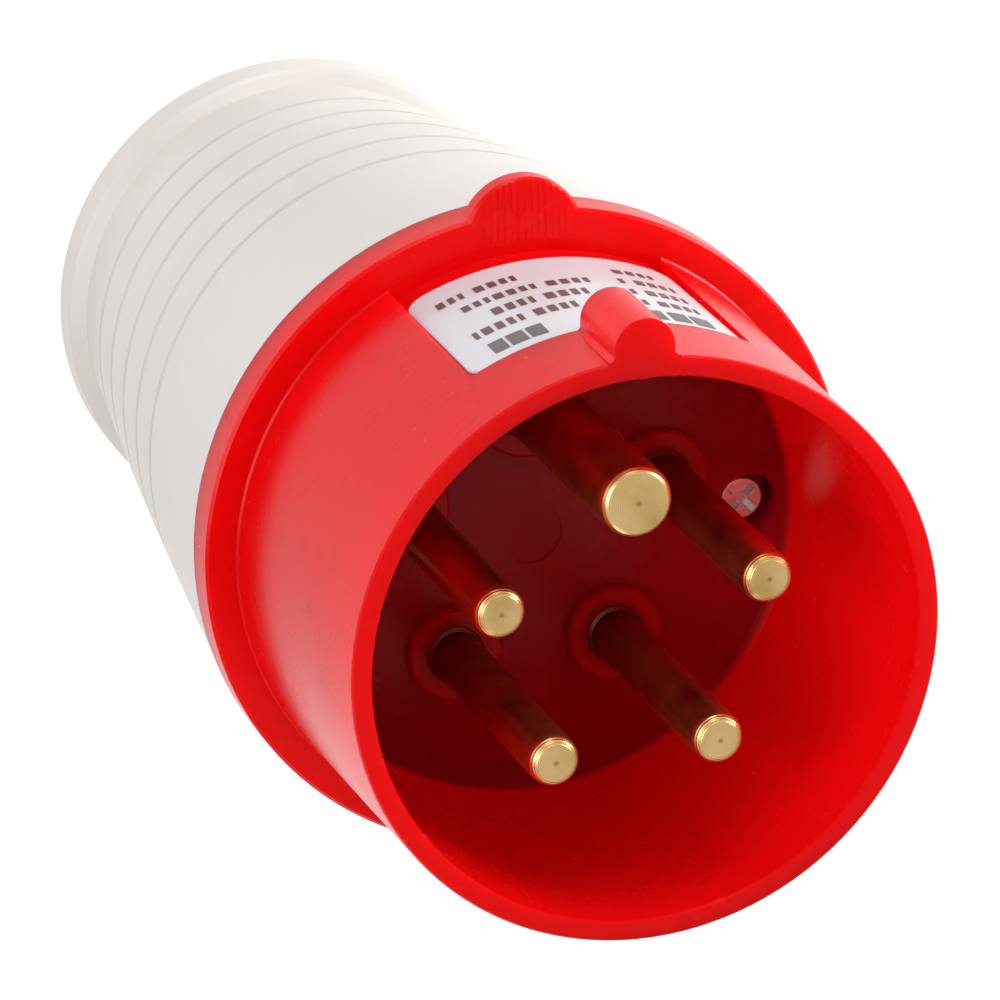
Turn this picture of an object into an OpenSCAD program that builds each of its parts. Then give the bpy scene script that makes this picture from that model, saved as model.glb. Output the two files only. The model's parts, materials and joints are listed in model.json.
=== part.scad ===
// Industrial pin and sleeve plug of the 16 A size: three phases, neutral and earth.
// It stands on the rear end of its cover. +Z runs along the axis to the mouth,
// -Y is the side of the key rib. Every size is in millimetres.

/* [Overall] */
// Whole length, from the rear end to the rim
total_l = 115; // [112:1:122]

/* [Shroud] */
// Outer radius of the shroud at the rim
shroud_r = 28.5; // [28:0.1:29]
// Wall of the shroud
shroud_wall = 2; // [1.8:0.1:2.4]
// Length from the flange's front face to the rim
shroud_l = 34.5; // [34:0.1:36]
// Growth of the outer radius from the rim to the flange
shroud_taper = 0.65; // [0.4:0.05:0.9]
// Depth from the rim to the floor
mouth_d = 34.2; // [32.6:0.1:35.2]
// Width of the key rib
key_w = 5.8; // [5.2:0.1:6.2]
// Height of the key rib over the shroud
key_h = 3.8; // [3.4:0.1:4.2]
// Length of the key rib
key_l = 9.7; // [8.6:0.1:10.9]

/* [Flange] */
// Radius of the flange
flange_r = 32.3; // [32:0.1:33.2]
// Thickness of the flange
flange_t = 4.5; // [4:0.1:5.2]
// Width of the thumb lug
lug_w = 11.8; // [11:0.1:12.4]
// Height of the thumb lug over the flange
lug_h = 3.2; // [2.9:0.1:3.8]
// Thickness of the thumb lug, flush with the flange's front face
lug_t = 1.9; // [1.7:0.1:2.8]

/* [Label] */
// Half the width of the recess for the label
label_half = 13.6; // [12.4:0.1:14.2]
// Length of the label along the axis
label_l = 21.5; // [19:0.1:22]
// Thickness of the label
label_t = 0.2; // [0.15:0.01:0.25]

/* [Pins] */
// Radius of the circle the contact pins stand on
pitch_r = 13.7; // [13.5:0.05:13.9]
// Radius of a phase or neutral pin
pin_r = 2.5; // [2.4:0.05:2.6]
// Radius of the earth pin
earth_r = 3.5; // [3.4:0.05:3.6]
// Distance of the pin tips below the rim
pin_setback = 3.3; // [2.5:0.1:4]
// Extra length of the earth pin
earth_lead = 1; // [0.5:0.1:1.4]
// Radius of a terminal barrel
barrel_r = 3.8; // [3.7:0.05:3.9]
// Length of a terminal barrel under the floor
barrel_l = 22; // [20:0.5:23]
// Radius of the wire hole
wire_r = 2.2; // [1.9:0.1:2.4]

/* [Carrier] */
// Thickness of the contact carrier's plate
plate_t = 6.6; // [5.8:0.1:7.6]
// Length of the spigot that enters the cover
spigot_l = 8.5; // [7.5:0.1:9.5]

/* [Screws] */
// Distance of the housing screws from the axis
screw_at = 22.1; // [21.8:0.1:22.4]
// Thread radius of the housing screws
screw_r = 1.8; // [1.6:0.05:1.9]
// Length of the housing screws under the head
screw_l = 16; // [13:1:19]

/* [Cover] */
// Wall of the rear cover
cover_wall = 2.5; // [2.2:0.1:2.9]
// Radius of the lip at the rear end
lip_r = 25; // [24.6:0.1:25.5]
// Width of the lip
lip_t = 4.3; // [3.8:0.1:5.2]
// Smallest radius of the cover, in front of the lip
waist_r = 23.4; // [22.8:0.1:23.8]
// Width of a grip groove
groove_w = 1; // [0.7:0.1:1.3]
// Depth of a grip groove
groove_d = 0.45; // [0.25:0.05:0.6]
// Distance between grip grooves
groove_step = 8.7; // [8.1:0.1:9.1]

/* [Gland] */
// Radius of the cable entry through the gland nut
entry_r = 8.5; // [7.6:0.1:9.5]
// Radius of the seal's seat
seal_r = 12.4; // [12:0.1:13]
// Length of the rubber seal
seal_l = 7.6; // [6.6:0.1:8.6]

/* [Cord clamp] */
// Radius of the clamp's cable groove
clamp_r = 7.1; // [6.6:0.1:7.6]
// Length of the clamp along the cable
clamp_l = 9.5; // [8.5:0.1:10.5]

/* [Fits] */
// Radial clearance between parts that slide together
fit_gap = 0.15; // [0.1:0.01:0.25]
// Radial clearance of a thread in its hole
thread_gap = 0.05; // [0.03:0.01:0.1]

/* [Hidden] */
$fn = 96;
eps = 0.01;
edge = 0.3;              // broken edge of a moulding
pins = 5;                // contact pins, the earth pin first
key_dir = -90;           // direction of the key side
grooves = 5;             // grip grooves

// Heights
rim_z = total_l;
flange_z1 = rim_z - shroud_l;
flange_z0 = flange_z1 - flange_t;
floor_z = rim_z - mouth_d;
tip_z = rim_z - pin_setback;
plate_z0 = flange_z0 - plate_t;
barrel_z0 = flange_z0 - barrel_l;

// Front housing
mouth_r = shroud_r - shroud_wall;
collar_h = 1.1;
collar_wall = 2.2;
earth_collar_h = 0.6;
earth_collar_wall = 2.4;
disc_r = 3.1;
disc_d = 0.15;
floor_round = 0.8;       // foot of the mouth's wall
front_foot = 0.2;        // foot of the shroud on the flange
recess_in = 0.3;         // face of the label's recess inside the rim's radius
recess_r = shroud_r - recess_in;
label_gap = 0.2;         // label to the front wall of its recess
label_inset = 0.5;       // label to the side walls of its recess
label_round = 2;
lug_r = lug_w / 2;
lug_at = flange_r + lug_h - lug_r;
flute_step = 0.67;
flute_w = 0.33;
flute_d = 0.12;
flutes = 6;              // flutes on each side of the middle one
foot_r = 0.6;            // fillet at the key rib's foot
foot_in = 0.1;           // how far the fillet starts inside the shroud
flange_over = 2.8;       // flange beyond the spigot
spigot_r = flange_r - flange_over;
spigot_wall = 2.5;
pilot_more = 0.4;        // pilot hole under a screw's end

// Pins
earth_more = 0.7;        // earth barrel wider than the others
earth_barrel_r = barrel_r + earth_more;
flat_t = 2;              // shoulder of a pin, held between floor and carrier
shoulder_w = 0.9;
wire_d = 12.5;
tip_h = 1.3;             // height and width of the rounding at a pin's tip
tip_w = 0.9;
tip_steps = 6;
root_w = 0.3;            // thicker root of a pin, in its collar
root_up = 0.2;           // end of the root over the collar
term_r = 1.65;
term_head_r = 2.5;
term_head_h = 1.8;
term_stand = 0.8;        // gap between barrel and screw head
term_up = 4;             // height of the screw over the barrel's end
term_in = 0.6;           // screw's end to the barrel's axis
slot_w = 0.7;
slot_d = 1;

// Screws
head_r = 2.7;
head_h = 2.1;
head_sink = 1.8;         // floor to the top of the head
well_r = 3.1;
head_edge = 0.7;
cross_reach = 1.7;
cross_d = 1.3;
ring_t = 0.8;            // seal ring under the head
seat_z = floor_z - head_sink - head_h - ring_t;
post_r = 4.75;
post_l = 3.7;            // screw post under the seat and the flange
post_z0 = min(seat_z, flange_z0) - post_l;
column_r = 3.6;
column_z1 = post_z0 - fit_gap;
column_z0 = 28.5;
web_t = 2;
web_gap = 2;             // web under the spigot's end

// Carrier
plate_r = spigot_r - spigot_wall - fit_gap * 2;
carrier_screw_at = 21.4;
carrier_screw_r = 1.4;
carrier_head_r = 2.4;
carrier_head_h = 1.7;
carrier_bite = 2.8;
carrier_slot = 1.5;
carrier_dirs = [key_dir + 36, key_dir - 36, key_dir + 180];
spine_w = 6.6;
spine_y0 = 7.6;
spine_y1 = 18.5;

// Cover
lip_edge = 0.4;
ledge_z = lip_t + 0.7;   // foot of the forward face of the lip
cover_in = 0.15;         // cover's front edge inside the flange's
cover_r = flange_r - cover_in;
cover_bulge = 0.33;      // how far the side stands out of a straight cone
side_steps = 8;
groove_z0 = 15.2;
groove_flare = 0.6;      // side of a groove, past its own width
groove_floor = groove_w / 2;
skirt_d = 7.6;           // depth of the rear recess
skirt_r = waist_r - cover_wall;
end_t = 2.8;
cover_bore = spigot_r + fit_gap;
rebate_w = 1;
rebate_d = 1.5;

// Gland
nut_sink = 0.4;          // gap over the nut's head in the rear recess
nut_h = skirt_d - nut_sink;
nut_r = 18;
nut_bevel = 1.4;
seal_bevel = 1.4;
entry_more = 0.5;        // clearance of the washer and the stop round the entry
nut_in = 6.6;
washer_t = 1;
washer_z = skirt_d + nut_in;
seal_z = washer_z + washer_t;
stop_z = seal_z + seal_l;
stop_t = 1.9;
neck_wall = 2.8;
seal_in = 6.6;

// Cord clamp
clamp_up = 5.7;          // clamp in front of the seal's stop
clamp_z0 = stop_z + stop_t + clamp_up;
clamp_half = 15.2;
clamp_gap = 1.9;         // half the gap between saddle and bridge
clamp_screw_at = 11.2;
clamp_screw_r = 1.8;
saddle_y1 = 9.5;
bridge_y0 = 7.1;
bridge_wall = 2.8;
clamp_head_r = 3;
clamp_head_h = 1.9;
nut_side = 6.3;
nut_t = 2.5;

housing_red = [0.85, 0.05, 0.04];
cover_grey = [0.76, 0.74, 0.72];
carrier_dark = [0.12, 0.12, 0.13];
brass = [0.80, 0.62, 0.30];
steel = [0.72, 0.72, 0.70];
rubber = [0.07, 0.07, 0.07];

// Ring about the axis between two radii and two heights
module ring(ro, ri, z0, z1) {
    translate([0, 0, z0]) difference() {
        cylinder(r = ro, h = z1 - z0);
        translate([0, 0, -eps]) cylinder(r = ri, h = z1 - z0 + 2 * eps);
    }
}

// Cylinder on the axis between two heights, with its upper edge broken
module post(r, z0, z1, broken = 0) {
    translate([0, 0, z0]) cylinder(r = r, h = z1 - z0 - broken);
    if (broken > 0) translate([0, 0, z1 - broken - eps]) cylinder(r1 = r, r2 = r - broken, h = broken + eps);
}

// Height where a pin's root ends, just over its collar
function root_z(collar) = floor_z + collar + root_up;

// Copies on the circle of the contact pins
module at_pin(i) {
    rotate([0, 0, key_dir + i * 360 / pins]) translate([pitch_r, 0, 0]) children();
}

// The two places of the housing screws
module at_screws() {
    for (s = [-1, 1]) translate([s * screw_at, 0, 0]) children();
}

// The places of the carrier's screws
module at_carrier_screws() {
    for (a = carrier_dirs) rotate([0, 0, a]) translate([carrier_screw_at, 0, 0]) children();
}

// Two crossed driver slots, cut down from the height given
module cross_recess(z1, reach, depth) {
    for (a = [45, 135]) rotate([0, 0, a])
        translate([-reach, -slot_w / 2, z1 - depth]) cube([2 * reach, slot_w, depth + eps]);
}

// Cross section of the key rib, with its feet on the shroud
module key_shape() {
    top = shroud_r + key_h - key_w / 2;
    translate([0, -top]) circle(r = key_w / 2);
    translate([-key_w / 2, -top]) square([key_w, top - mouth_r - shroud_wall / 2]);
    for (s = [0, 1]) mirror([s, 0]) translate([key_w / 2 - eps, -shroud_r - foot_r + foot_in]) difference() {
        square([foot_r, foot_r + shroud_wall / 4]);
        translate([foot_r, 0]) circle(r = foot_r);
    }
}

// Shroud, flange and spigot as one turned shape
module front_turned() {
    rotate_extrude() polygon([
        [0, flange_z0], [spigot_r - spigot_wall, flange_z0],
        [spigot_r - spigot_wall, flange_z0 - spigot_l], [spigot_r - edge, flange_z0 - spigot_l],
        [spigot_r, flange_z0 - spigot_l + edge], [spigot_r, flange_z0],
        [flange_r - edge, flange_z0], [flange_r, flange_z0 + edge],
        [flange_r, flange_z1 - edge], [flange_r - edge, flange_z1],
        [shroud_r + shroud_taper + front_foot, flange_z1],
        [shroud_r + shroud_taper, flange_z1 + front_foot],
        [shroud_r, rim_z - edge], [shroud_r - edge / 2, rim_z],
        [mouth_r + edge / 2, rim_z], [mouth_r, rim_z - edge],
        [mouth_r, floor_z + floor_round], [mouth_r - floor_round, floor_z], [0, floor_z]]);
}

module front_housing() {
    recess_z0 = flange_z1;
    recess_z1 = rim_z - key_l;
    color(housing_red) difference() {
        union() {
            difference() {
                front_turned();
                // Flat-sided recess for the label, a little deeper than the shroud's taper
                difference() {
                    translate([-label_half, -flange_r - lug_h, recess_z0 + eps])
                        cube([2 * label_half, flange_r, recess_z1 - recess_z0]);
                    translate([0, 0, recess_z0 - 1]) cylinder(r = recess_r, h = recess_z1 - recess_z0 + 3);
                }
            }
            translate([0, 0, rim_z - key_l]) linear_extrude(key_l) key_shape();
            translate([0, -lug_at, 0]) post(lug_r, flange_z1 - lug_t, flange_z1, edge);
            // Raised collars at the foot of each pin
            for (i = [1:pins - 1]) at_pin(i)
                post(pin_r + collar_wall, floor_z - eps, floor_z + collar_h, edge);
            at_pin(0)
                post(earth_r + earth_collar_wall, floor_z - eps, floor_z + earth_collar_h, edge);
            // Screw posts, which end at the spigot's outer face
            intersection() {
                at_screws() post(post_r, post_z0, flange_z0 + eps);
                post(spigot_r, post_z0, flange_z0 + eps);
            }
        }
        // Faint disc in the middle of the floor
        translate([0, 0, floor_z - disc_d]) cylinder(r = disc_r, h = disc_d + eps);
        for (i = [1:pins - 1]) at_pin(i)
            post(pin_r + root_w + thread_gap, flange_z0 - eps, floor_z + collar_h + eps);
        at_pin(0) post(earth_r + root_w + thread_gap, flange_z0 - eps, floor_z + earth_collar_h + eps);
        at_screws() {
            post(well_r, seat_z, floor_z + eps);
            post(screw_r + fit_gap, post_z0 - eps, seat_z + eps);
        }
        at_carrier_screws()
            post(carrier_screw_r + thread_gap, flange_z0 - eps, flange_z0 + carrier_bite + pilot_more);
        // Grip flutes on the front of the lug
        for (k = [-flutes:flutes])
            translate([k * flute_step - flute_w / 2, -flange_r - lug_h, flange_z1 - flute_d])
                cube([flute_w, flange_r + lug_h - shroud_r - shroud_taper - front_foot, flute_d + eps]);
    }
}

// Plate with round corners that cuts the label out of a ring
module label_cutter() {
    half = label_half - label_inset;
    z1 = rim_z - key_l - label_gap;
    z0 = z1 - label_l;
    depth = shroud_r + 1;
    translate([-half + label_round, -depth, z0]) cube([2 * (half - label_round), depth, label_l]);
    translate([-half, -depth, z0 + label_round]) cube([2 * half, depth, label_l - 2 * label_round]);
    for (x = [-1, 1] * (half - label_round), z = [z0 + label_round, z1 - label_round])
        translate([x, 0, z]) rotate([90, 0, 0]) cylinder(r = label_round, h = depth);
}

module rating_label() {
    color([0.93, 0.93, 0.95]) intersection() {
        ring(recess_r + label_t, recess_r, flange_z1, rim_z);
        label_cutter();
    }
}

// Turned pin: rounded tip, shoulder, terminal barrel with wire hole and screw hole
module contact_pin(i, r, br, tip, collar) {
    tip_arc = [for (k = [0:tip_steps]) let (a = 90 * k / tip_steps)
        [r - tip_w * (1 - cos(a)), tip - tip_h * (1 - sin(a))]];
    color(brass) at_pin(i) difference() {
        rotate_extrude() polygon(concat([
            [0, barrel_z0], [br - edge, barrel_z0], [br, barrel_z0 + edge], [br, flange_z0 - flat_t],
            [br + shoulder_w, flange_z0 - flat_t], [br + shoulder_w, flange_z0], [r + root_w, flange_z0],
            [r + root_w, root_z(collar) - root_w], [r, root_z(collar)]], tip_arc, [[0, tip]]));
        translate([0, 0, barrel_z0 - eps]) cylinder(r = wire_r, h = wire_d);
        translate([0, 0, barrel_z0 + term_up]) rotate([0, 90, 0])
            cylinder(r = term_r + thread_gap, h = br + 1);
    }
}

module earth_pin() { contact_pin(0, earth_r, earth_barrel_r, tip_z + earth_lead, earth_collar_h); }
module pin_l1() { contact_pin(1, pin_r, barrel_r, tip_z, collar_h); }
module pin_l2() { contact_pin(2, pin_r, barrel_r, tip_z, collar_h); }
module pin_l3() { contact_pin(3, pin_r, barrel_r, tip_z, collar_h); }
module pin_neutral() { contact_pin(4, pin_r, barrel_r, tip_z, collar_h); }

// Slotted screw that points to the barrel's axis
module terminal_screw(i, br) {
    out = br + term_stand;
    at_pin(i) translate([0, 0, barrel_z0 + term_up]) rotate([0, 90, 0]) difference() {
        union() {
            translate([0, 0, term_in]) cylinder(r = term_r, h = out - term_in + eps);
            translate([0, 0, out]) cylinder(r = term_head_r, h = term_head_h);
        }
        translate([-term_head_r - 1, -slot_w / 2, out + term_head_h - slot_d])
            cube([2 * term_head_r + 2, slot_w, slot_d + eps]);
    }
}

module terminal_screws() {
    color(steel) for (i = [1:pins - 1]) terminal_screw(i, barrel_r);
}

module earth_terminal_screw() {
    color(steel) terminal_screw(0, earth_barrel_r);
}

module contact_carrier() {
    saddle_y0 = clamp_gap;
    color(carrier_dark) difference() {
        union() {
            post(plate_r, plate_z0, flange_z0);
            translate([-spine_w / 2, spine_y0, clamp_z0])
                cube([spine_w, spine_y1 - spine_y0, plate_z0 - clamp_z0 + 1]);
            translate([-clamp_half, saddle_y0, clamp_z0])
                cube([2 * clamp_half, saddle_y1 - saddle_y0, clamp_l]);
        }
        for (i = [1:pins - 1]) at_pin(i) {
            post(barrel_r + fit_gap, plate_z0 - eps, flange_z0 + eps);
            post(barrel_r + shoulder_w + fit_gap, flange_z0 - flat_t, flange_z0 + eps);
        }
        at_pin(0) {
            post(earth_barrel_r + fit_gap, plate_z0 - eps, flange_z0 + eps);
            post(earth_barrel_r + shoulder_w + fit_gap, flange_z0 - flat_t, flange_z0 + eps);
        }
        at_screws() post(post_r + 2 * fit_gap, plate_z0 - eps, flange_z0 + eps);
        at_carrier_screws() post(carrier_screw_r + fit_gap, plate_z0 - eps, flange_z0 + eps);
        // Cable groove, screw holes and nut pockets of the saddle
        post(clamp_r, clamp_z0 - eps, clamp_z0 + clamp_l + eps);
        for (s = [-1, 1]) translate([s * clamp_screw_at, 0, clamp_z0 + clamp_l / 2]) {
            rotate([-90, 0, 0]) cylinder(r = clamp_screw_r + fit_gap, h = saddle_y1 + 1);
            translate([-nut_side / 2 - fit_gap, saddle_y1 - nut_t, -nut_side / 2 - fit_gap])
                cube([nut_side + 2 * fit_gap, nut_t + eps, nut_side + 2 * fit_gap]);
        }
    }
}

module carrier_screws() {
    color(steel) at_carrier_screws() difference() {
        union() {
            post(carrier_head_r, plate_z0 - carrier_head_h, plate_z0);
            post(carrier_screw_r, plate_z0 - eps, flange_z0 + carrier_bite, edge);
        }
        for (a = [0, 90]) rotate([0, 0, a])
            translate([-carrier_slot, -slot_w / 2, plate_z0 - carrier_head_h - eps])
                cube([2 * carrier_slot, slot_w, slot_d]);
    }
}

module flange_gasket() {
    color(rubber)
        ring(cover_bore + rebate_w - fit_gap, spigot_r + eps, flange_z0 - rebate_d + eps, flange_z0);
}

// Radius of the cover's side: a cone that stands out a little at half height
function side_at(t) = waist_r + (cover_r - waist_r) * t + 4 * cover_bulge * t * (1 - t);
function side_r(z) = side_at((z - ledge_z) / (flange_z0 - ledge_z));

// Outer shape of the cover, drawn in by the amount given
module cover_solid(inset, z0, z1) {
    side = [for (k = [0:side_steps])
        [side_at(k / side_steps) - inset, ledge_z + (flange_z0 - ledge_z) * k / side_steps]];
    intersection() {
        rotate_extrude() polygon(concat([
            [0, 0], [lip_r - edge - inset, 0], [lip_r - inset, edge], [lip_r - inset, lip_t - lip_edge],
            [lip_r - lip_edge - inset, lip_t]], side, [[0, flange_z0]]));
        translate([0, 0, z0]) cylinder(r = 2 * flange_r, h = z1 - z0);
    }
}

module rear_cover() {
    color(cover_grey) difference() {
        union() {
            difference() {
                cover_solid(0, 0, flange_z0);
                cover_solid(cover_wall, skirt_d + end_t, flange_z0 + 1);
                post(cover_bore, flange_z0 - spigot_l - 1, flange_z0 + 1);
                post(cover_bore + rebate_w, flange_z0 - rebate_d, flange_z0 + 1);
            }
            // Screw columns, each tied to the wall by a web
            intersection() {
                at_screws() {
                    post(column_r, column_z0, column_z1);
                    translate([-flange_r, -web_t / 2, column_z0])
                        cube([2 * flange_r, web_t, flange_z0 - spigot_l - web_gap - column_z0]);
                }
                cover_solid(cover_wall / 2, column_z0, column_z1);
                difference() {
                    post(2 * flange_r, column_z0, column_z1);
                    post(screw_at - column_r, column_z0 - 1, column_z1 + 1);
                }
            }
            // Neck that holds the seal
            ring(seal_r + neck_wall, entry_r + entry_more, skirt_d, stop_z + stop_t);
        }
        post(skirt_r, -eps, skirt_d);
        post(seal_r, skirt_d - eps, stop_z);
        post(entry_r + entry_more, stop_z - eps, stop_z + stop_t + eps);
        at_screws() post(screw_r + thread_gap, seat_z - screw_l - 1, column_z1 + eps);
        // Grip grooves
        for (i = [0:grooves - 1]) {
            z = groove_z0 + i * groove_step;
            rotate_extrude() polygon([
                [side_r(z) - groove_d, z - groove_floor / 2],
                [side_r(z) + 1, z - groove_w / 2 - groove_flare],
                [side_r(z) + 1, z + groove_w / 2 + groove_flare],
                [side_r(z) - groove_d, z + groove_floor / 2]]);
        }
    }
}

module housing_screws() {
    color(steel) at_screws() difference() {
        union() {
            post(screw_r, seat_z + ring_t - screw_l, seat_z + ring_t + eps);
            post(head_r, seat_z + ring_t, seat_z + ring_t + head_h, head_edge);
        }
        cross_recess(seat_z + ring_t + head_h, cross_reach, cross_d);
    }
}

module screw_seals() {
    color(rubber) at_screws() ring(head_r, screw_r + thread_gap, seat_z, seat_z + ring_t);
}

module clamp_bridge() {
    color(carrier_dark) difference() {
        union() {
            translate([-clamp_half, -bridge_y0, clamp_z0])
                cube([2 * clamp_half, bridge_y0 - clamp_gap, clamp_l]);
            intersection() {
                post(clamp_r + bridge_wall, clamp_z0, clamp_z0 + clamp_l);
                translate([-clamp_half, -3 * clamp_r, clamp_z0])
                    cube([2 * clamp_half, 3 * clamp_r - clamp_gap, clamp_l]);
            }
        }
        post(clamp_r, clamp_z0 - eps, clamp_z0 + clamp_l + eps);
        for (s = [-1, 1]) translate([s * clamp_screw_at, 0, clamp_z0 + clamp_l / 2])
            rotate([90, 0, 0]) cylinder(r = clamp_screw_r + fit_gap, h = 2 * bridge_y0);
    }
}

module clamp_screws() {
    color(steel) for (s = [-1, 1]) translate([s * clamp_screw_at, 0, clamp_z0 + clamp_l / 2]) difference() {
        union() {
            translate([0, -bridge_y0 - eps, 0]) rotate([-90, 0, 0])
                cylinder(r = clamp_screw_r, h = bridge_y0 + saddle_y1 + 1);
            translate([0, -bridge_y0 - clamp_head_h, 0]) rotate([-90, 0, 0])
                cylinder(r = clamp_head_r, h = clamp_head_h);
        }
        translate([-clamp_head_r - 1, -bridge_y0 - clamp_head_h - eps, -slot_w / 2])
            cube([2 * clamp_head_r + 2, slot_d, slot_w]);
    }
}

module clamp_nuts() {
    color(steel) for (s = [-1, 1]) translate([s * clamp_screw_at, 0, clamp_z0 + clamp_l / 2]) difference() {
        translate([-nut_side / 2, saddle_y1 - nut_t, -nut_side / 2]) cube([nut_side, nut_t, nut_side]);
        translate([0, saddle_y1 - nut_t - 1, 0]) rotate([-90, 0, 0])
            cylinder(r = clamp_screw_r + thread_gap, h = nut_t + 2);
    }
}

module gland_seal() {
    color(rubber) rotate_extrude() polygon([
        [seal_in, seal_z + seal_bevel], [seal_in + seal_bevel, seal_z], [seal_r - fit_gap, seal_z],
        [seal_r - fit_gap, stop_z], [seal_in + seal_bevel, stop_z], [seal_in, stop_z - seal_bevel]]);
}

module gland_washer() {
    color(steel) ring(seal_r - fit_gap, entry_r + entry_more, washer_z, seal_z);
}

module gland_nut() {
    color(cover_grey) difference() {
        union() {
            intersection() {
                cylinder(r = nut_r, h = nut_h, $fn = 6);
                cylinder(r1 = nut_r - nut_bevel, r2 = nut_r + nut_h - nut_bevel, h = nut_h);
            }
            post(seal_r - thread_gap, nut_h - eps, washer_z);
        }
        post(entry_r, -eps, washer_z + eps);
    }
}

front_housing();
rating_label();
earth_pin();
pin_l1();
pin_l2();
pin_l3();
pin_neutral();
terminal_screws();
earth_terminal_screw();
contact_carrier();
carrier_screws();
flange_gasket();
rear_cover();
housing_screws();
screw_seals();
clamp_bridge();
clamp_screws();
clamp_nuts();
gland_seal();
gland_washer();
gland_nut();
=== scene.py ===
"""Industrial pin and sleeve plug: finishes, label print, studio floor, lights and camera."""

import json
import math
import bpy
from mathutils import Matrix, Vector


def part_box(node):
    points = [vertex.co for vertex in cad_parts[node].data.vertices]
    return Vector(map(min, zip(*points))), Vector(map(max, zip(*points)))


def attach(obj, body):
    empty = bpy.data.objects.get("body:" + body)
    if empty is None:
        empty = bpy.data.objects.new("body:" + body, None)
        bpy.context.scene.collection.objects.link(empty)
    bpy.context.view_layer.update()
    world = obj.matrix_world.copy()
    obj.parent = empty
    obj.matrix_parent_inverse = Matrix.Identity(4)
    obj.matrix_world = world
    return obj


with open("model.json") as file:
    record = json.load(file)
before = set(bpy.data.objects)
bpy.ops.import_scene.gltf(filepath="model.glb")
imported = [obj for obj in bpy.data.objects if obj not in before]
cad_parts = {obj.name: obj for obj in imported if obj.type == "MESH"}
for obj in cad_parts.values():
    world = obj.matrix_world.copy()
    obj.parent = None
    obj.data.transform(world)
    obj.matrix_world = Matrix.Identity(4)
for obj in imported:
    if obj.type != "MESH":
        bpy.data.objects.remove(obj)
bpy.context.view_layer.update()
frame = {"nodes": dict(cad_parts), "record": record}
nodes = frame["nodes"]

MM = 0.001

# ---------------------------------------------------------------- driving places, from the frame
_, HOUSING_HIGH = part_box("front_housing")
LABEL_LOW, LABEL_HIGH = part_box("rating_label")
COVER_LOW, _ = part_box("rear_cover")
HEIGHT = HOUSING_HIGH.z                       # from the rear end to the rim
LABEL_R = -LABEL_LOW.y                        # outer face of the label, round the plug's axis
MOUTH_DEPTH = 34.2 * MM
FLOOR_Z = HEIGHT - MOUTH_DEPTH                # floor of the mouth
MOUTH_R = 26.5 * MM
GROOVE_Z = 15.2 * MM                          # middle of the first grip groove of the cover
GROOVE_STEP = 8.7 * MM
GROOVE_HALF = 0.55 * MM
GROOVES = 5

# ---------------------------------------------------------------- colours, linear
RED = ((0.90, 0.002, 0.003), (0.95, 0.003, 0.005))
# painted shade: the red of the mouth's floor, darkened
RED_FLOOR_SHADE = (0.52, 0.003, 0.020)
COVER_GREY = ((0.72, 0.68, 0.64), (0.76, 0.72, 0.69))
NUT_GREY = ((0.62, 0.60, 0.57), (0.66, 0.64, 0.61))
DARK = ((0.045, 0.045, 0.05), (0.065, 0.065, 0.07))
RUBBER = ((0.018, 0.018, 0.018), (0.03, 0.03, 0.03))
NICKEL = ((0.60, 0.58, 0.54), (0.78, 0.77, 0.74))
FILM = ((0.66, 0.66, 0.70), (0.71, 0.71, 0.75))
BRASS = ((0.56, 0.35, 0.12), (0.74, 0.50, 0.20), (0.83, 0.60, 0.28))
# dark brown of the pins' rings and dot, and of the painted shade at their roots
MARK_AND_SHADE_BROWN = (0.10, 0.05, 0.02)
GREY_INK = (0.115, 0.105, 0.10)
BROWN_INK = (0.115, 0.045, 0.045)
GROOVE_PAINTED_SHADE = 0.84                           # share of brightness left in the grooves by painted shade
SPECK_SHADE = 0.75                            # share of brightness in the plastic's specks
INK_SHADE = 0.8                               # and where the ink is thick


# ---------------------------------------------------------------- material helpers
def new_material(name):
    """An empty node material with its output and principled shader, linked."""
    material = bpy.data.materials.new(name)
    material.use_nodes = True
    tree = material.node_tree
    tree.nodes.clear()
    output = tree.nodes.new("ShaderNodeOutputMaterial")
    shader = tree.nodes.new("ShaderNodeBsdfPrincipled")
    tree.links.new(shader.outputs["BSDF"], output.inputs["Surface"])
    return material, tree, shader


def noise(tree, scale, detail):
    """A noise texture in object coordinates, of so many spots a metre. Returns its value."""
    where = tree.nodes.new("ShaderNodeTexCoord")
    texture = tree.nodes.new("ShaderNodeTexNoise")
    texture.inputs["Scale"].default_value = scale
    texture.inputs["Detail"].default_value = detail
    tree.links.new(where.outputs["Object"], texture.inputs["Vector"])
    return texture.outputs["Fac"]


def ramp(tree, value, stops):
    """A colour ramp over a value: stops are (place, colour)."""
    node = tree.nodes.new("ShaderNodeValToRGB")
    elements = node.color_ramp.elements
    while len(elements) < len(stops):
        elements.new(0.5)
    for element, (place, colour) in zip(elements, stops):
        element.position = place
        element.color = (*colour, 1.0)
    tree.links.new(value, node.inputs["Fac"])
    return node.outputs["Color"]


def mottled(tree, scale, detail, colours):
    """Two colours that run into each other in soft spots."""
    low, high = colours
    return ramp(tree, noise(tree, scale, detail), [(0.3, low), (0.7, high)])


def spread(tree, value, low, high, from_low=0.0, from_high=1.0):
    """The value mapped from one range to another, and held at the ends."""
    node = tree.nodes.new("ShaderNodeMapRange")
    node.inputs["From Min"].default_value = from_low
    node.inputs["From Max"].default_value = from_high
    node.inputs["To Min"].default_value = low
    node.inputs["To Max"].default_value = high
    tree.links.new(value, node.inputs["Value"])
    return node.outputs["Result"]


def uneven_gloss(tree, shader, value, low, high):
    """Roughness that follows a value, from low to high."""
    tree.links.new(spread(tree, value, low, high), shader.inputs["Roughness"])


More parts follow.
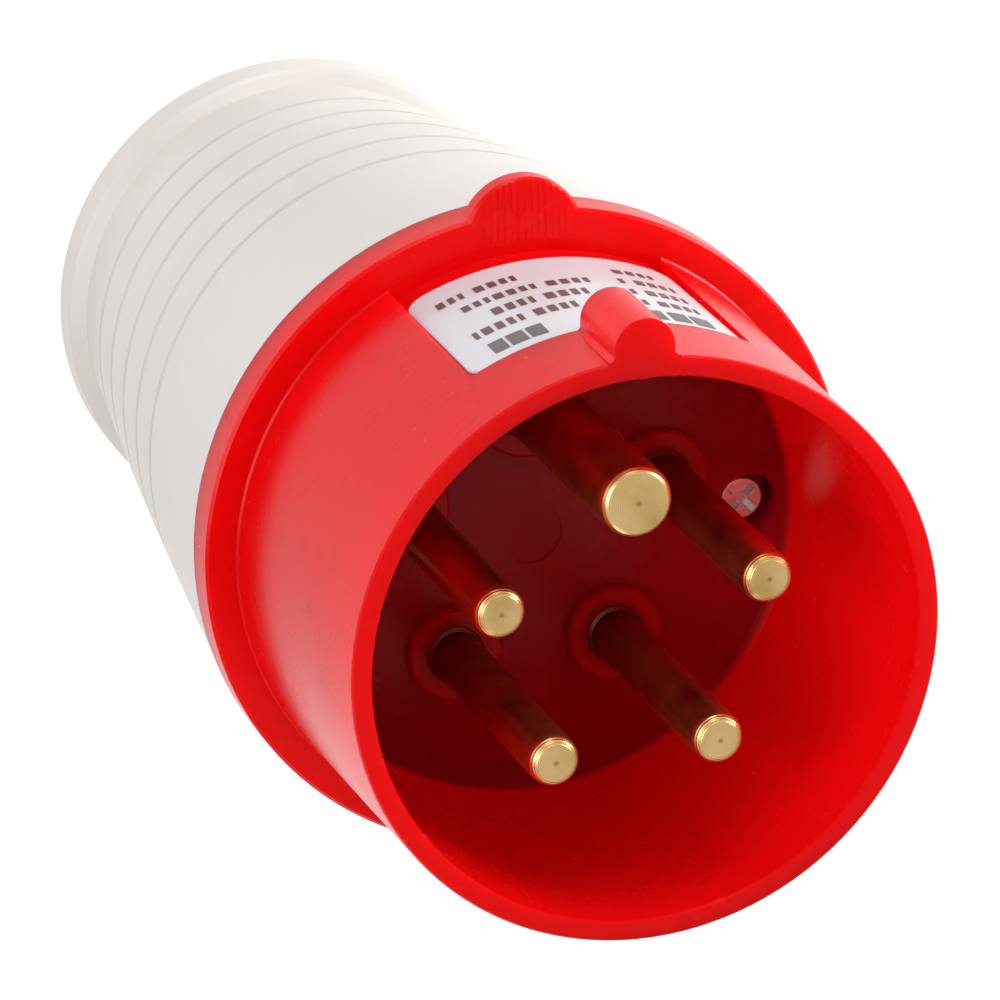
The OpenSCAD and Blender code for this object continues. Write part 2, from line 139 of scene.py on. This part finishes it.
def bump(tree, shader, height, distance, strength, edge=0.0):
    """Bump from a height, on edges that are rounded by the radius edge."""
    node = tree.nodes.new("ShaderNodeBump")
    node.inputs["Distance"].default_value = distance
    node.inputs["Strength"].default_value = strength
    tree.links.new(height, node.inputs["Height"])
    if edge:
        bevel = tree.nodes.new("ShaderNodeBevel")
        bevel.samples = 4
        bevel.inputs["Radius"].default_value = edge
        tree.links.new(bevel.outputs["Normal"], node.inputs["Normal"])
    tree.links.new(node.outputs["Normal"], shader.inputs["Normal"])


def translucent(shader, weight, radius):
    """Light that enters the plastic and comes out within the radius, given for each colour."""
    shader.inputs["Subsurface Weight"].default_value = weight
    shader.inputs["Subsurface Radius"].default_value = radius
    shader.inputs["Subsurface Scale"].default_value = 1.0


def math_node(tree, operation, a, b=None):
    """One math operation on values or numbers."""
    node = tree.nodes.new("ShaderNodeMath")
    node.operation = operation
    for socket, value in zip(node.inputs, (a, b)):
        if value is None:
            continue
        if isinstance(value, (int, float)):
            socket.default_value = value
        else:
            tree.links.new(value, socket)
    return node.outputs["Value"]


def coordinates(tree, kind):
    """The x, y and z of a kind of texture coordinates."""
    where = tree.nodes.new("ShaderNodeTexCoord")
    split = tree.nodes.new("ShaderNodeSeparateXYZ")
    tree.links.new(where.outputs[kind], split.inputs["Vector"])
    return split.outputs["X"], split.outputs["Y"], split.outputs["Z"]


def from_axis(tree, x, y):
    """How far a point lies from the axis x = y = 0."""
    x_square = math_node(tree, "MULTIPLY", x, x)
    y_square = math_node(tree, "MULTIPLY", y, y)
    return math_node(tree, "SQRT", math_node(tree, "ADD", x_square, y_square))


def mixed(tree, share, a, b):
    """Colour a where the share is 0, and b where it is 1."""
    mix = tree.nodes.new("ShaderNodeMix")
    mix.data_type = "RGBA"
    tree.links.new(share, mix.inputs["Factor"])
    for key, colour in (("A", a), ("B", b)):
        if isinstance(colour, tuple):
            mix.inputs[key].default_value = (*colour, 1.0)
        else:
            tree.links.new(colour, mix.inputs[key])
    return mix.outputs["Result"]


def darker(colour, share):
    """The colour at this share of its brightness."""
    return tuple(share * part for part in colour)


# ---------------------------------------------------------------- materials
FLOOR_SHADE_FADE = (0.2 * MM, 1.6 * MM)             # over the floor, where its painted shade ends
WALL_SHADE_FADE = 0.6 * MM                          # inside the mouth's wall, where its painted shade ends
SPECKS = 70.0                                 # a metre
SPECK_EDGE = (0.016, 0.03)                    # of the distance between specks
RING_RATE = 330.0                             # radians of the rings' wave over a pin's width
DOT_EDGE = (0.012, 0.035)                     # of a pin's width
# the last is painted shade at the pins' roots, near the floor
RING_SHADE, DOT_SHADE, ROOT_PAINTED_SHADE = 0.8, 0.45, 0.15
PIN_SHADE_FADE = (2.0 * MM, 16.0 * MM)          # over the floor, where the pins' painted shade ends and they turn bright


def mouth_floor_shade(tree):
    """Painted shade of the mouth's floor: 1 on the floor and behind it, 0 higher up the walls and
    outside them.
    """
    x, y, height = coordinates(tree, "Object")
    low, high = (FLOOR_Z + fade for fade in FLOOR_SHADE_FADE)
    at_floor = spread(tree, height, 1.0, 0.0, low, high)
    inside = spread(tree, from_axis(tree, x, y), 1.0, 0.0, MOUTH_R - WALL_SHADE_FADE, MOUTH_R)
    return math_node(tree, "MULTIPLY", at_floor, inside)


def red_moulding():
    """Glossy red thermoplastic, with painted shade darkening the floor of the mouth."""
    material, tree, shader = new_material("red_moulding")
    # painted shade: the floor of the mouth is darker than the rest of the red
    colour = mixed(tree, mouth_floor_shade(tree), mottled(tree, 60.0, 4.0, RED), RED_FLOOR_SHADE)
    tree.links.new(colour, shader.inputs["Base Color"])
    uneven_gloss(tree, shader, noise(tree, 240.0, 5.0), 0.20, 0.32)
    shader.inputs["Specular IOR Level"].default_value = 0.13
    shader.inputs["IOR"].default_value = 1.5
    translucent(shader, 0.85, (0.009, 0.0005, 0.0004))
    bump(tree, shader, noise(tree, 900.0, 2.0), 0.01 * MM, 0.2)
    return material


def groove_shade_mask(tree):
    """1 in the middle of a grip groove, 0 at its edges and everywhere else: where painted shade
    goes.
    """
    _, _, height = coordinates(tree, "Object")
    steps = math_node(tree, "DIVIDE", math_node(tree, "SUBTRACT", height, GROOVE_Z), GROOVE_STEP)
    nearest = math_node(tree, "MAXIMUM", math_node(tree, "ROUND", steps), 0.0)
    nearest = math_node(tree, "MINIMUM", nearest, GROOVES - 1.0)
    away = math_node(tree, "ABSOLUTE", math_node(tree, "SUBTRACT", steps, nearest))
    away = math_node(tree, "MULTIPLY", away, GROOVE_STEP)
    return spread(tree, away, 1.0, 0.0, 0.5 * GROOVE_HALF, GROOVE_HALF)


def grey_moulding(name, colours, roughness, grooved=False):
    """Satin light grey thermoplastic with a fine grain, a few specks, and painted shade in its
    grooves.
    """
    material, tree, shader = new_material(name)
    low, _ = colours
    base = mottled(tree, 35.0, 4.0, colours)
    # painted shade: the grip grooves darkened
    if grooved:
        base = mixed(tree, groove_shade_mask(tree), base, darker(low, GROOVE_PAINTED_SHADE))
    speck = tree.nodes.new("ShaderNodeTexVoronoi")
    speck.inputs["Scale"].default_value = SPECKS
    black, white = (0.0, 0.0, 0.0), (1.0, 1.0, 1.0)
    no_speck = ramp(tree, speck.outputs["Distance"], list(zip(SPECK_EDGE, (black, white))))
    colour = mixed(tree, no_speck, darker(low, SPECK_SHADE), base)
    tree.links.new(colour, shader.inputs["Base Color"])
    uneven_gloss(tree, shader, noise(tree, 300.0, 4.0), roughness - 0.05, roughness + 0.07)
    translucent(shader, 0.05, (0.002, 0.0018, 0.0015))
    bump(tree, shader, noise(tree, 1600.0, 2.0), 0.04 * MM, 0.35, edge=0.3 * MM)
    return material


def turned_brass():
    """Brass with the tool's rings and centre dot on each pin's end, and painted shade darkening it
    near the floor.
    """
    material, tree, shader = new_material("turned_brass")
    x, y, _ = coordinates(tree, "Generated")
    from_middle = [math_node(tree, "SUBTRACT", side, 0.5) for side in (x, y)]
    radius = from_axis(tree, *from_middle)
    rings = math_node(tree, "SINE", math_node(tree, "MULTIPLY", radius, RING_RATE))
    grain = noise(tree, 500.0, 5.0)
    colour = ramp(tree, noise(tree, 180.0, 6.0), list(zip((0.30, 0.50, 0.75), BRASS)))

    # painted shade: the pins darken towards the floor of the mouth
    _, _, height = coordinates(tree, "Object")
    root, bright = (FLOOR_Z + fade for fade in PIN_SHADE_FADE)
    ring_shade = spread(tree, rings, RING_SHADE, 1.0, -1.0, 1.0)
    dot_shade = spread(tree, radius, DOT_SHADE, 1.0, *DOT_EDGE)
    root_shade = spread(tree, height, ROOT_PAINTED_SHADE, 1.0, root, bright)
    shade = math_node(tree, "MULTIPLY", ring_shade, dot_shade)
    shade = math_node(tree, "MULTIPLY", shade, root_shade)
    tree.links.new(mixed(tree, shade, MARK_AND_SHADE_BROWN, colour), shader.inputs["Base Color"])

    shader.inputs["Metallic"].default_value = 1.0
    uneven_gloss(tree, shader, grain, 0.22, 0.4)
    ring_relief = math_node(tree, "MULTIPLY", rings, 0.5)
    grain_relief = math_node(tree, "MULTIPLY", grain, 0.3)
    relief = math_node(tree, "ADD", ring_relief, grain_relief)
    bump(tree, shader, relief, 0.02 * MM, 0.9)
    return material


def plated_steel():
    """Bright nickel plate on small screws."""
    material, tree, shader = new_material("plated_steel")
    tree.links.new(mottled(tree, 400.0, 4.0, NICKEL), shader.inputs["Base Color"])
    shader.inputs["Metallic"].default_value = 1.0
    uneven_gloss(tree, shader, noise(tree, 700.0, 4.0), 0.15, 0.35)
    bump(tree, shader, noise(tree, 1500.0, 3.0), 0.02 * MM, 0.4, edge=0.15 * MM)
    return material


def dull(name, colours, roughness, grain):
    """Dark matte plastic or rubber, with a fine grain."""
    material, tree, shader = new_material(name)
    tree.links.new(mottled(tree, 80.0, 4.0, colours), shader.inputs["Base Color"])
    uneven_gloss(tree, shader, noise(tree, 300.0, 3.0), roughness - 0.08, roughness + 0.08)
    bump(tree, shader, noise(tree, grain, 3.0), 0.05 * MM, 0.5, edge=0.2 * MM)
    return material


def label_film():
    """White printed film with a clear coat."""
    material, tree, shader = new_material("label_film")
    tree.links.new(mottled(tree, 90.0, 3.0, FILM), shader.inputs["Base Color"])
    shader.inputs["Roughness"].default_value = 0.35
    shader.inputs["Coat Weight"].default_value = 0.4
    shader.inputs["Coat Roughness"].default_value = 0.12
    bump(tree, shader, noise(tree, 260.0, 2.0), 0.04 * MM, 0.3)
    return material


def ink(name, colour):
    """Printing ink: slightly uneven, as thermal transfer leaves it."""
    material, tree, shader = new_material(name)
    stops = [(0.35, darker(colour, INK_SHADE)), (0.6, colour)]
    tree.links.new(ramp(tree, noise(tree, 1200.0, 4.0), stops), shader.inputs["Base Color"])
    shader.inputs["Roughness"].default_value = 0.4
    bump(tree, shader, noise(tree, 1500.0, 2.0), 0.01 * MM, 0.3)
    return material


FINISH = {
    "red_moulding": red_moulding(),
    "label": label_film(),
    "brass": turned_brass(),
    "plated_steel": plated_steel(),
    "dark_moulding": dull("dark_moulding", DARK, 0.5, 900.0),
    "seal_rubber": dull("seal_rubber", RUBBER, 0.7, 500.0),
    "grey_moulding": grey_moulding("grey_moulding", COVER_GREY, 0.42, grooved=True),
    "nut_moulding": grey_moulding("nut_moulding", NUT_GREY, 0.48),
}


def finish_cad_nodes():
    """Each CAD node gets the material of its record slot on all its faces."""
    slots = {part["node"]: part["material_slot"] for part in frame["record"]["subparts"]}
    for name, obj in nodes.items():
        obj.data.materials.clear()
        obj.data.materials.append(FINISH[slots[name]])
        for face in obj.data.polygons:
            face.material_index = 0


# ---------------------------------------------------------------- label print
PRINT_LIFT = 0.04 * MM                        # over the label's face
PATCH_STEP = 0.6 * MM                         # round the axis, between a patch's corners

# From here on in millimetres: widths round the axis from the key rib, and depths below the
# label's top edge.
DASH = 0.62                                   # about the width of a dash
DASH_WIDTHS = 4                               # which come in turn
NARROWEST, WIDER = 0.8, 0.25                  # shares of DASH: the first, and each next one more
DASH_GAP = 0.42
GROUP_GAP = 1.1
GROUP, FIRST_GROUP = 7, 4                     # dashes
BLOCK_DEPTHS = (1.9, 4.6)
BLOCKS = ((-11.4, -9.4), (-9.0, -7.2), (-6.6, -4.0), (5.2, 6.8), (7.1, 8.8), (9.1, 10.6))
ROWS = (                                      # from, to, depth and how tall
    (-11.6, -1.0, 6.6, 1.5), (0.6, 11.4, 6.6, 1.7),
    (-11.6, -3.0, 10.0, 1.5), (-1.6, 8.2, 10.0, 1.7),
    (-11.6, -5.0, 13.4, 1.4), (-2.8, 10.4, 13.4, 1.4),
    (-10.4, -5.2, 16.6, 1.2), (3.4, 11.4, 16.6, 1.4),
)


def curved_patch(name, x0, x1, z0, z1, material):
    """A thin printed patch on the label's face, between two widths and two heights."""
    radius = LABEL_R + PRINT_LIFT
    steps = max(2, int(abs(x1 - x0) / PATCH_STEP) + 1)
    vertices, faces = [], []
    for i in range(steps + 1):
        turn = (x0 + (x1 - x0) * i / steps) / radius
        x, y = radius * math.sin(turn), -radius * math.cos(turn)
        vertices += [(x, y, z0), (x, y, z1)]
    for i in range(steps):
        a = 2 * i
        faces.append((a, a + 2, a + 3, a + 1))
    mesh = bpy.data.meshes.new(name)
    mesh.from_pydata(vertices, [], faces)
    mesh.materials.append(material)
    for face in mesh.polygons:
        face.use_smooth = True
    obj = bpy.data.objects.new(name, mesh)
    bpy.context.scene.collection.objects.link(obj)
    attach(obj, "root")
    return obj


def joined(name, pieces):
    """Several patches made one piece."""
    bpy.ops.object.select_all(action="DESELECT")
    for piece in pieces:
        piece.select_set(True)
    bpy.context.view_layer.objects.active = pieces[0]
    bpy.ops.object.join()
    pieces[0].name = name


def print_row(name, x0, x1, depth, tall, material):
    """One row of small upright dashes in groups."""
    low, high = LABEL_HIGH.z - (depth + tall) * MM, LABEL_HIGH.z - depth * MM
    dashes = []
    x, k = x0, 0
    while x + DASH < x1:
        wide = DASH * (NARROWEST + WIDER * (k % DASH_WIDTHS))
        dashes.append(curved_patch(f"{name}_{k}", x * MM, (x + wide) * MM, low, high, material))
        k += 1
        x += wide + (GROUP_GAP if k % GROUP == FIRST_GROUP else DASH_GAP)
    return dashes


def print_label():
    """Generic print: blocks near the label's top edge, and rows of dashes below."""
    grey, brown = ink("grey_ink", GREY_INK), ink("brown_ink", BROWN_INK)
    high, low = (LABEL_HIGH.z - depth * MM for depth in BLOCK_DEPTHS)
    joined("label_band", [curved_patch(f"block_{i}", a * MM, b * MM, low, high, grey)
                          for i, (a, b) in enumerate(BLOCKS)])
    dashes = []
    for r, (x0, x1, depth, tall) in enumerate(ROWS):
        dashes += print_row(f"row_{r}", x0, x1, depth, tall, brown)
    joined("label_rows", dashes)


# ---------------------------------------------------------------- studio
FLOOR_SIZE = 6.0
FLOOR_GREY = (0.50, 0.50, 0.50)
FLOOR_GLOW = 0.8                              # seen by the camera and in gloss, but no light
BACKDROP = (0.8, 0.8, 0.8)                    # the same
SKY_TINT = (0.98, 0.98, 1.0)
WALL_LIGHT = 0.30                             # surroundings round the plug's sides
ZENITH_LIGHT = 0.12                           # surroundings over its mouth
WALL_TOP, ZENITH_FROM = 0.35, 0.75            # heights on the sky between which they blend
LAMPS = (                                     # name, place, width and power
    ("key", (1.09, -0.2, 0.74), 0.8, 9.5),
    ("label_side", (0.05, -1.2, 0.3), 0.5, 5.0),
    ("far_side", (-1.1, -0.5, 0.3), 0.5, 13.0),
    ("rear_side", (0.2, 1.2, 0.25), 0.5, 3.5),
)
LAMPS_AIM = Vector((0.0, 0.0, 0.6 * HEIGHT))


def shows_backdrop(tree):
    """1 where the camera, a reflection or a see-through piece meets the backdrop, else 0."""
    path = tree.nodes.new("ShaderNodeLightPath")
    seen = math_node(tree, "MAXIMUM", path.outputs["Is Camera Ray"], path.outputs["Is Glossy Ray"])
    return math_node(tree, "MAXIMUM", seen, path.outputs["Is Transmission Ray"])


def studio_floor():
    """A plain pale floor. The camera sees it near white, and it keeps the plug's shadow."""
    bpy.ops.mesh.primitive_plane_add(size=FLOOR_SIZE, location=(0.0, 0.0, COVER_LOW.z))
    floor = bpy.context.object
    floor.name = "studio_floor"
    material, tree, shader = new_material("studio_floor")
    shader.inputs["Base Color"].default_value = (*FLOOR_GREY, 1.0)
    shader.inputs["Roughness"].default_value = 0.9
    glow = tree.nodes.new("ShaderNodeEmission")
    glow.inputs["Color"].default_value = (1.0, 1.0, 1.0, 1.0)
    glow.inputs["Strength"].default_value = FLOOR_GLOW
    both = tree.nodes.new("ShaderNodeAddShader")
    choose = tree.nodes.new("ShaderNodeMixShader")
    output = [n for n in tree.nodes if n.type == "OUTPUT_MATERIAL"][0]
    tree.links.new(shader.outputs["BSDF"], both.inputs[0])
    tree.links.new(glow.outputs["Emission"], both.inputs[1])
    tree.links.new(shows_backdrop(tree), choose.inputs["Fac"])
    tree.links.new(shader.outputs["BSDF"], choose.inputs[1])
    tree.links.new(both.outputs["Shader"], choose.inputs[2])
    tree.links.new(choose.outputs["Shader"], output.inputs["Surface"])
    floor.data.materials.append(material)


def world_light():
    """A pale backdrop to look at. As light it is brighter round the plug than over the mouth."""
    world = bpy.data.worlds.new("studio")
    bpy.context.scene.world = world
    world.use_nodes = True
    tree = world.node_tree
    tree.nodes.clear()
    output = tree.nodes.new("ShaderNodeOutputWorld")
    seen = tree.nodes.new("ShaderNodeBackground")
    seen.inputs["Color"].default_value = (*BACKDROP, 1.0)
    light = tree.nodes.new("ShaderNodeBackground")
    light.inputs["Color"].default_value = (*SKY_TINT, 1.0)
    _, _, height = coordinates(tree, "Generated")
    strength = spread(tree, height, WALL_LIGHT, ZENITH_LIGHT, WALL_TOP, ZENITH_FROM)
    tree.links.new(strength, light.inputs["Strength"])
    choose = tree.nodes.new("ShaderNodeMixShader")
    tree.links.new(shows_backdrop(tree), choose.inputs["Fac"])
    tree.links.new(light.outputs["Background"], choose.inputs[1])
    tree.links.new(seen.outputs["Background"], choose.inputs[2])
    tree.links.new(choose.outputs["Shader"], output.inputs["Surface"])


def area_light(name, place, width, power):
    """A square soft box that looks at the plug."""
    data = bpy.data.lights.new(name, "AREA")
    data.shape = "SQUARE"
    data.size = width
    data.energy = power
    lamp = bpy.data.objects.new(name, data)
    bpy.context.scene.collection.objects.link(lamp)
    lamp.location = place
    lamp.rotation_euler = (LAMPS_AIM - Vector(place)).to_track_quat("-Z", "Y").to_euler()


def lights():
    """A key that rakes into the mouth from the side, and three low soft boxes round the plug."""
    for name, place, width, power in LAMPS:
        area_light(name, place, width, power)


# ---------------------------------------------------------------- camera, at the photograph's angle
AZIMUTH = math.radians(40.237)                # from -Y towards +X
ELEVATION = math.radians(63.532)
ROLL = math.radians(135.46)
CAMERA_DISTANCE = 0.7196
CAMERA_AIM = Vector((0.0, -0.0001, 0.0713))
LENS = 267.3                                  # millimetres, on a sensor of 36


def camera():
    """Looks into the mouth from beside the key rib, rolled so that the mouth is lower right."""
    out = math.cos(ELEVATION)
    back = Vector((math.sin(AZIMUTH) * out, -math.cos(AZIMUTH) * out, math.sin(ELEVATION)))
    data = bpy.data.cameras.new("camera")
    data.sensor_width = 36.0
    data.lens = LENS
    data.clip_start = 0.01
    view = bpy.data.objects.new("camera", data)
    bpy.context.scene.collection.objects.link(view)
    turn = (-back).to_track_quat("-Z", "Y").to_matrix().to_4x4() @ Matrix.Rotation(ROLL, 4, "Z")
    view.matrix_world = Matrix.Translation(CAMERA_AIM + back * CAMERA_DISTANCE) @ turn
    bpy.context.scene.camera = view


camera()
finish_cad_nodes()
print_label()
studio_floor()
world_light()
lights()
bpy.context.scene.view_settings.view_transform = "Standard"
